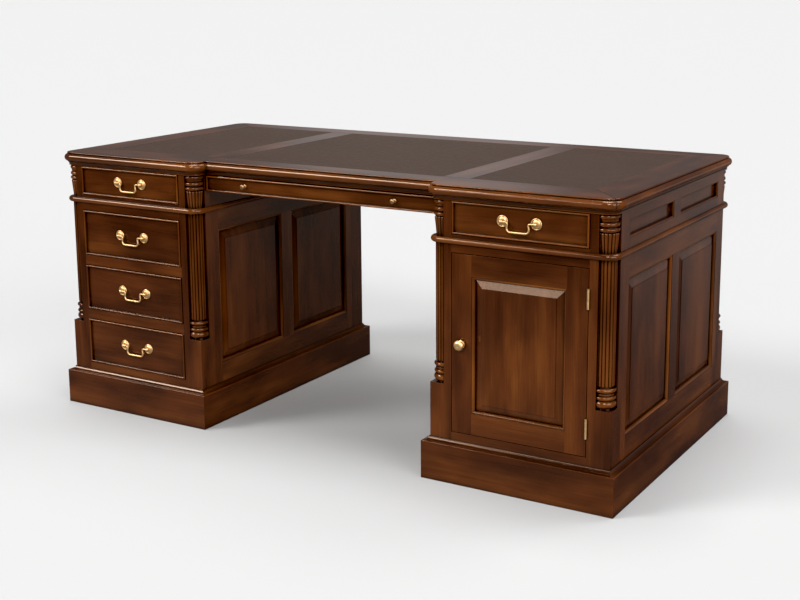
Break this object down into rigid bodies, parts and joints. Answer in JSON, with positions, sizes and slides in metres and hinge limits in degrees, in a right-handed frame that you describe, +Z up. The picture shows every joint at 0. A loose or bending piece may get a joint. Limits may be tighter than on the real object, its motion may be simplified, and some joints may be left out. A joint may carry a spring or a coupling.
{
  "type": "partners desk",
  "caption": "Pedestal writing desk with a leather-lined breakfront top, reeded corner columns, cock-beaded drawers and a raised-panel cupboard door on each side.",
  "frame": {"origin": "on the floor under the middle of the desk", "axes": "+X along the length, -Y towards the sitter at the set-back front, +Z up"},
  "size_m": [1.8, 0.8974, 0.78],
  "materials": {
    "mahogany": "dark red-brown mahogany, satin polish",
    "leather": "dark brown writing leather, low sheen",
    "brass": "warm lacquered brass"
  },
  "bodies": {
    "carcase": {"desk_top_border": "mahogany", "top_ground_panels": "mahogany", "leather_left": "leather", "leather_centre": "leather", "leather_right": "leather", "bed_moulding": "mahogany", "frieze_frame": "mahogany", "frieze_end_panels": "mahogany", "astragal_boards": "mahogany", "upper_reeded_columns": "mahogany", "lower_reeded_columns": "mahogany", "left_pedestal_frame": "mahogany", "right_pedestal_frame": "mahogany", "raised_side_panels": "mahogany", "pedestal_boards": "mahogany", "drawer_runners": "mahogany", "plinths": "mahogany", "door_hinge_fixed_leaves": "brass"},
    "front_left_frieze_drawer": {"front_left_frieze_drawer": "mahogany", "front_left_frieze_handle_posts": "brass"},
    "front_left_frieze_bail": {"front_left_frieze_bail": "brass"},
    "front_lower_drawer": {"front_lower_drawer": "mahogany", "front_lower_handle_posts": "brass"},
    "front_lower_bail": {"front_lower_bail": "brass"},
    "front_middle_drawer": {"front_middle_drawer": "mahogany", "front_middle_handle_posts": "brass"},
    "front_middle_bail": {"front_middle_bail": "brass"},
    "front_upper_drawer": {"front_upper_drawer": "mahogany", "front_upper_handle_posts": "brass"},
    "front_upper_bail": {"front_upper_bail": "brass"},
    "front_right_frieze_drawer": {"front_right_frieze_drawer": "mahogany", "front_right_frieze_handle_posts": "brass"},
    "front_right_frieze_bail": {"front_right_frieze_bail": "brass"},
    "front_centre_frieze_drawer": {"front_centre_frieze_drawer": "mahogany", "front_centre_frieze_knobs": "brass"},
    "rear_left_frieze_drawer": {"rear_left_frieze_drawer": "mahogany", "rear_left_frieze_handle_posts": "brass"},
    "rear_left_frieze_bail": {"rear_left_frieze_bail": "brass"},
    "rear_right_frieze_drawer": {"rear_right_frieze_drawer": "mahogany", "rear_right_frieze_handle_posts": "brass"},
    "rear_right_frieze_bail": {"rear_right_frieze_bail": "brass"},
    "rear_lower_drawer": {"rear_lower_drawer": "mahogany", "rear_lower_handle_posts": "brass"},
    "rear_lower_bail": {"rear_lower_bail": "brass"},
    "rear_middle_drawer": {"rear_middle_drawer": "mahogany", "rear_middle_handle_posts": "brass"},
    "rear_middle_bail": {"rear_middle_bail": "brass"},
    "rear_upper_drawer": {"rear_upper_drawer": "mahogany", "rear_upper_handle_posts": "brass"},
    "rear_upper_bail": {"rear_upper_bail": "brass"},
    "rear_centre_frieze_drawer": {"rear_centre_frieze_drawer": "mahogany", "rear_centre_frieze_knobs": "brass"},
    "front_door": {"front_door_frame": "mahogany", "front_door_panel": "mahogany", "front_door_knob": "brass", "front_door_hinge_leaves": "brass"},
    "rear_door": {"rear_door_frame": "mahogany", "rear_door_panel": "mahogany", "rear_door_knob": "brass", "rear_door_hinge_leaves": "brass"}
  },
  "joints": [
    {"name": "front_left_frieze_drawer_slide", "type": "slide", "parent": "carcase", "child": "front_left_frieze_drawer", "axis": [0, -1, 0], "range_m": [0, 0.3]},
    {"name": "front_left_frieze_bail_swing", "type": "hinge", "parent": "front_left_frieze_drawer", "child": "front_left_frieze_bail", "pos_m": [-0.6315, -0.435, 0.7008], "axis": [-1, 0, 0], "range_deg": [0, 95]},
    {"name": "front_lower_drawer_slide", "type": "slide", "parent": "carcase", "child": "front_lower_drawer", "axis": [0, -1, 0], "range_m": [0, 0.3]},
    {"name": "front_lower_bail_swing", "type": "hinge", "parent": "front_lower_drawer", "child": "front_lower_bail", "pos_m": [-0.6315, -0.435, 0.2065], "axis": [-1, 0, 0], "range_deg": [0, 95]},
    {"name": "front_middle_drawer_slide", "type": "slide", "parent": "carcase", "child": "front_middle_drawer", "axis": [0, -1, 0], "range_m": [0, 0.3]},
    {"name": "front_middle_bail_swing", "type": "hinge", "parent": "front_middle_drawer", "child": "front_middle_bail", "pos_m": [-0.6315, -0.435, 0.3745], "axis": [-1, 0, 0], "range_deg": [0, 95]},
    {"name": "front_upper_drawer_slide", "type": "slide", "parent": "carcase", "child": "front_upper_drawer", "axis": [0, -1, 0], "range_m": [0, 0.3]},
    {"name": "front_upper_bail_swing", "type": "hinge", "parent": "front_upper_drawer", "child": "front_upper_bail", "pos_m": [-0.6315, -0.435, 0.5425], "axis": [-1, 0, 0], "range_deg": [0, 95]},
    {"name": "front_right_frieze_drawer_slide", "type": "slide", "parent": "carcase", "child": "front_right_frieze_drawer", "axis": [0, -1, 0], "range_m": [0, 0.3]},
    {"name": "front_right_frieze_bail_swing", "type": "hinge", "parent": "front_right_frieze_drawer", "child": "front_right_frieze_bail", "pos_m": [0.6315, -0.435, 0.7008], "axis": [-1, 0, 0], "range_deg": [0, 95]},
    {"name": "front_centre_frieze_drawer_slide", "type": "slide", "parent": "carcase", "child": "front_centre_frieze_drawer", "axis": [0, -1, 0], "range_m": [0, 0.3]},
    {"name": "rear_left_frieze_drawer_slide", "type": "slide", "parent": "carcase", "child": "rear_left_frieze_drawer", "axis": [0, 1, 0], "range_m": [0, 0.3]},
    {"name": "rear_left_frieze_bail_swing", "type": "hinge", "parent": "rear_left_frieze_drawer", "child": "rear_left_frieze_bail", "pos_m": [-0.6315, 0.435, 0.7008], "axis": [1, 0, 0], "range_deg": [0, 95]},
    {"name": "rear_right_frieze_drawer_slide", "type": "slide", "parent": "carcase", "child": "rear_right_frieze_drawer", "axis": [0, 1, 0], "range_m": [0, 0.3]},
    {"name": "rear_right_frieze_bail_swing", "type": "hinge", "parent": "rear_right_frieze_drawer", "child": "rear_right_frieze_bail", "pos_m": [0.6315, 0.435, 0.7008], "axis": [1, 0, 0], "range_deg": [0, 95]},
    {"name": "rear_lower_drawer_slide", "type": "slide", "parent": "carcase", "child": "rear_lower_drawer", "axis": [0, 1, 0], "range_m": [0, 0.3]},
    {"name": "rear_lower_bail_swing", "type": "hinge", "parent": "rear_lower_drawer", "child": "rear_lower_bail", "pos_m": [0.6315, 0.435, 0.2065], "axis": [1, 0, 0], "range_deg": [0, 95]},
    {"name": "rear_middle_drawer_slide", "type": "slide", "parent": "carcase", "child": "rear_middle_drawer", "axis": [0, 1, 0], "range_m": [0, 0.3]},
    {"name": "rear_middle_bail_swing", "type": "hinge", "parent": "rear_middle_drawer", "child": "rear_middle_bail", "pos_m": [0.6315, 0.435, 0.3745], "axis": [1, 0, 0], "range_deg": [0, 95]},
    {"name": "rear_upper_drawer_slide", "type": "slide", "parent": "carcase", "child": "rear_upper_drawer", "axis": [0, 1, 0], "range_m": [0, 0.3]},
    {"name": "rear_upper_bail_swing", "type": "hinge", "parent": "rear_upper_drawer", "child": "rear_upper_bail", "pos_m": [0.6315, 0.435, 0.5425], "axis": [1, 0, 0], "range_deg": [0, 95]},
    {"name": "rear_centre_frieze_drawer_slide", "type": "slide", "parent": "carcase", "child": "rear_centre_frieze_drawer", "axis": [0, 1, 0], "range_m": [0, 0.3]},
    {"name": "front_door_hinge", "type": "hinge", "parent": "carcase", "child": "front_door", "pos_m": [0.8182, -0.4319, 0.3705], "axis": [0, 0, 1], "range_deg": [0, 110]},
    {"name": "rear_door_hinge", "type": "hinge", "parent": "carcase", "child": "rear_door", "pos_m": [-0.8182, 0.4319, 0.3705], "axis": [0, 0, 1], "range_deg": [0, 110]}
  ]
}
